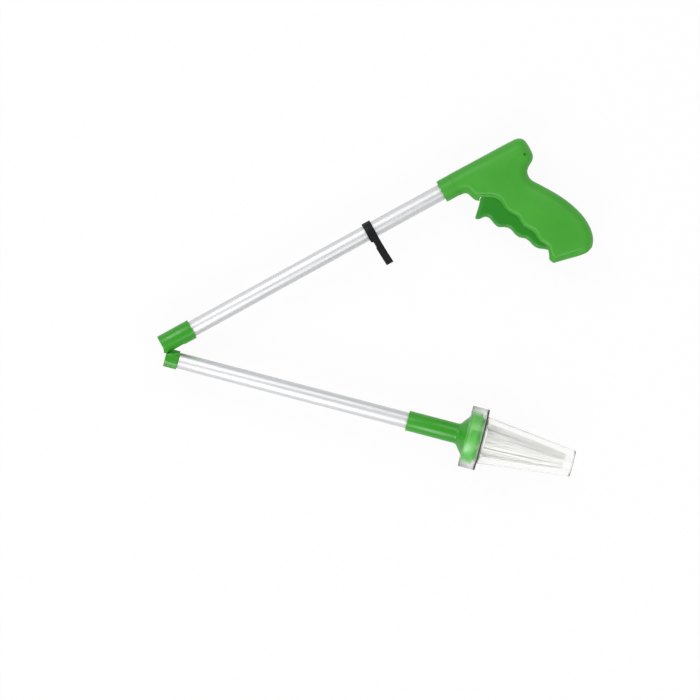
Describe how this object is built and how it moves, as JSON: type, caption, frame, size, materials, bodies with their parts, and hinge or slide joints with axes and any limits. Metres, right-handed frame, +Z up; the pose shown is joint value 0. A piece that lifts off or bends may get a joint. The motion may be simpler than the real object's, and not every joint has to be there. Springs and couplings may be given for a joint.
{
  "type": "foldable spider catcher",
  "caption": "Folding long-reach insect catcher: pistol grip with a squeeze trigger, two hinged tubes and a bristle head that opens, under a clear push-on cover.",
  "frame": {"origin": "bottom centre of the bounding box of the tool as it lies half folded on its side", "axes": "+X along the lower arm from the fold hinge to the brush head, +Y across it on the handle's side, +Z up along the fold hinge's axis"},
  "size_m": [0.3772, 0.2892, 0.0542],
  "materials": {
    "green_plastic": "satin moulded",
    "trigger_plastic": "satin moulded",
    "tube_metal": "bright drawn",
    "steel": "plated",
    "strap_fabric": "woven hook and loop",
    "bristle_nylon": "drawn filament",
    "cord_nylon": "braided",
    "inner_plastic": "moulded",
    "clear_plastic": "clear moulded"
  },
  "bodies": {
    "handle": {"handle_shell_near": "green_plastic", "handle_shell_far": "green_plastic", "handle_screw_1": "steel", "handle_screw_2": "steel", "handle_screw_3": "steel", "trigger_pin": "steel", "upper_tube": "tube_metal", "cord_guide_bush": "inner_plastic", "tie_strap": "strap_fabric", "hinge_socket": "green_plastic", "hinge_pin_near": "steel", "hinge_pin_far": "steel", "pull_cord_handle": "cord_nylon", "pull_cord_hinge": "cord_nylon"},
    "trigger": {"trigger": "trigger_plastic", "cord_end_barrel": "steel"},
    "cord_upper": {"pull_cord_upper": "cord_nylon"},
    "lower_arm": {"hinge_cap": "green_plastic", "lower_tube": "tube_metal", "brush_hub": "green_plastic", "return_spring": "steel", "jaw_pin_1": "steel", "jaw_pin_2": "steel", "jaw_pin_3": "steel", "jaw_pin_4": "steel"},
    "puller": {"puller": "green_plastic", "cord_end_slug": "steel", "pull_cord_lower": "cord_nylon"},
    "jaw_1": {"jaw_1": "inner_plastic", "bristles_1": "bristle_nylon"},
    "jaw_2": {"jaw_2": "inner_plastic", "bristles_2": "bristle_nylon"},
    "jaw_3": {"jaw_3": "inner_plastic", "bristles_3": "bristle_nylon"},
    "jaw_4": {"jaw_4": "inner_plastic", "bristles_4": "bristle_nylon"},
    "cover": {"clear_cover": "clear_plastic"}
  },
  "joints": [
    {"name": "fold", "type": "hinge", "parent": "handle", "child": "lower_arm", "pos_m": [-0.17894, -0.11201, 0.0271], "axis": [0, 0, -1], "range_deg": [-22.4, 136.5], "deforming": ["pull_cord_hinge"]},
    {"name": "trigger", "type": "hinge", "parent": "handle", "child": "trigger", "pos_m": [0.12867, 0.05773, 0.0271], "axis": [0, 0, -1], "range_deg": [0, 9], "stiffness_Nm_per_rad": 2, "springref_deg": -4.58, "deforming": ["pull_cord_handle"]},
    {"name": "cord_upper", "type": "slide", "parent": "handle", "child": "cord_upper", "axis": [0.7256, 0.6881, 0], "range_m": [0, 0.0037]},
    {"name": "puller", "type": "slide", "parent": "lower_arm", "child": "puller", "axis": [-1, 0, 0], "range_m": [0, 0.0037], "deforming": ["return_spring"]},
    {"name": "jaw_1", "type": "hinge", "parent": "lower_arm", "child": "jaw_1", "pos_m": [0.10206, -0.11051, 0.0271], "axis": [0, 0, 1], "range_deg": [0, 26], "deforming": ["bristles_1"]},
    {"name": "jaw_2", "type": "hinge", "parent": "lower_arm", "child": "jaw_2", "pos_m": [0.10206, -0.11751, 0.0341], "axis": [0, -1, 0], "range_deg": [0, 26], "deforming": ["bristles_2"]},
    {"name": "jaw_3", "type": "hinge", "parent": "lower_arm", "child": "jaw_3", "pos_m": [0.10206, -0.12451, 0.0271], "axis": [0, 0, -1], "range_deg": [0, 26], "deforming": ["bristles_3"]},
    {"name": "jaw_4", "type": "hinge", "parent": "lower_arm", "child": "jaw_4", "pos_m": [0.10206, -0.11751, 0.0201], "axis": [0, 1, 0], "range_deg": [0, 26], "deforming": ["bristles_4"]},
    {"name": "cover", "type": "slide", "parent": "lower_arm", "child": "cover", "axis": [1, 0, 0], "range_m": [0, 0.095]}
  ],
  "couplings": [
    {"joint": "cord_upper", "follows": "trigger", "m_per_rad": 0.02355},
    {"joint": "puller", "follows": "trigger", "m_per_rad": 0.02355},
    {"joint": "jaw_1", "follows": "trigger", "ratio": 2.8888},
    {"joint": "jaw_2", "follows": "trigger", "ratio": 2.8888},
    {"joint": "jaw_3", "follows": "trigger", "ratio": 2.8888},
    {"joint": "jaw_4", "follows": "trigger", "ratio": 2.8888}
  ]
}
